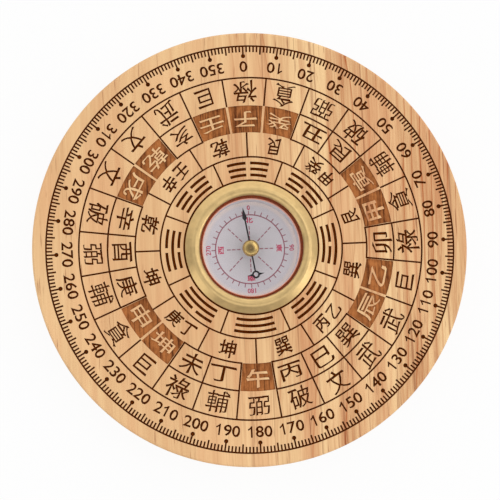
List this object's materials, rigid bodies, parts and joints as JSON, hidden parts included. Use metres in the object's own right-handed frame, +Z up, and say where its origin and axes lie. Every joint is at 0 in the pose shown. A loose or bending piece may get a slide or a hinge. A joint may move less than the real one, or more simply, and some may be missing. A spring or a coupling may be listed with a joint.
{
  "type": "feng shui compass",
  "caption": "Round wooden feng shui compass board with engraved luopan rings and a pressed-in brass compass capsule whose needle swings freely on its pivot.",
  "frame": {"origin": "middle of the wooden board's flat underside", "axes": "+Z up out of the engraved face, along the needle's pivot; +Y towards the board's 0 degree mark"},
  "size_m": [0.12, 0.12, 0.0147],
  "materials": {
    "wood": "satin",
    "liner_rubber": "matte",
    "can_brass": "satin",
    "dial_print": "matte",
    "spacer_plastic": "matte",
    "lens_glass": "polished",
    "gasket_rubber": "matte",
    "bezel_brass": "satin",
    "bushing_brass": "satin",
    "pin_steel": "polished",
    "needle_steel": "satin",
    "cap_brass": "polished",
    "jewel": "polished"
  },
  "bodies": {
    "compass_body": {"wooden_disc": "wood", "grip_ring": "liner_rubber", "housing_cup": "can_brass", "dial_plate": "dial_print", "spacer_ring": "spacer_plastic", "glass_lens": "lens_glass", "lens_gasket": "gasket_rubber", "bezel_ring": "bezel_brass", "pivot_bushing": "bushing_brass", "pivot_pin": "pin_steel"},
    "needle": {"needle_blade": "needle_steel", "needle_cap": "cap_brass", "jewel_bearing": "jewel"}
  },
  "joints": [
    {"name": "needle_swivel", "type": "hinge", "parent": "compass_body", "child": "needle", "pos_m": [0, 0, 0.0092], "axis": [0, 0, 1], "continuous": true}
  ]
}
